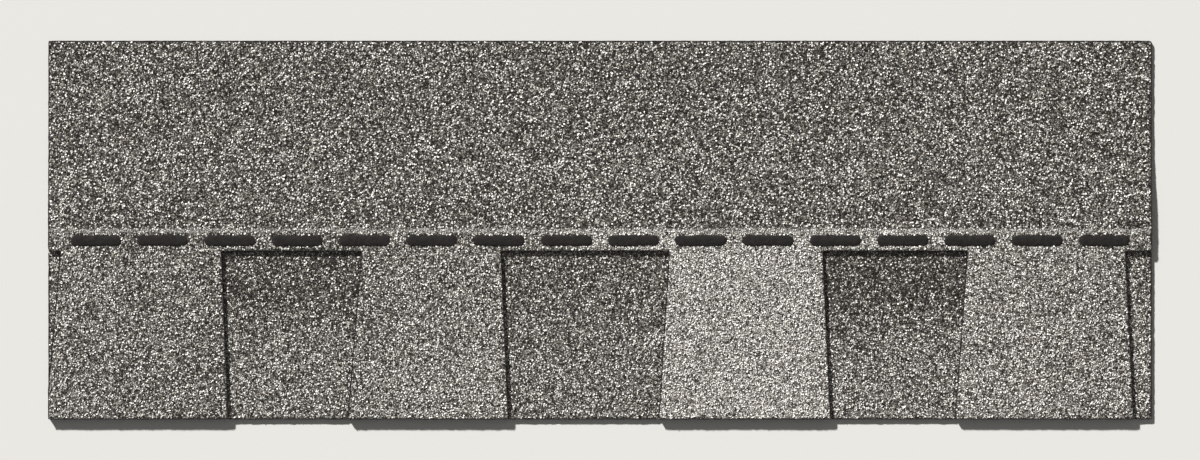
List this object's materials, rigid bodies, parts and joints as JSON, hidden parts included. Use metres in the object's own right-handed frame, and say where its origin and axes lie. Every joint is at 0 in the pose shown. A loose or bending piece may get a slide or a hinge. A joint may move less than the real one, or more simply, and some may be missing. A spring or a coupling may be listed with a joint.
{
  "type": "laminated asphalt shingle",
  "caption": "Flat two-layer roofing shingle: a toothed granule-faced sheet bonded over a backing strip that shows between the teeth, with a plain headlap behind.",
  "frame": {"origin": "on the floor, under the middle of the shingle's length and of its height", "axes": "+X along the course, to the right as seen on the roof; +Y up the slope, from the butt edge to the headlap; +Z out of the weather face"},
  "size_m": [0.984, 0.337, 0.0064],
  "materials": {
    "granule_sheet": "matt mineral granules, warm grey blend, on asphalt-coated glass mat",
    "granule_strip": "matt mineral granules, darker warm grey, on asphalt-coated glass mat",
    "laminating_asphalt": "satin black asphalt",
    "sealing_asphalt": "glossy black modified asphalt",
    "release_film": "clear polyester film"
  },
  "bodies": {
    "root": {"tooth_sheet": "granule_sheet", "backing_strip": "granule_strip", "laminating_adhesive": "laminating_asphalt", "seal_strip": "sealing_asphalt", "release_tape": "release_film"}
  },
  "joints": []
}
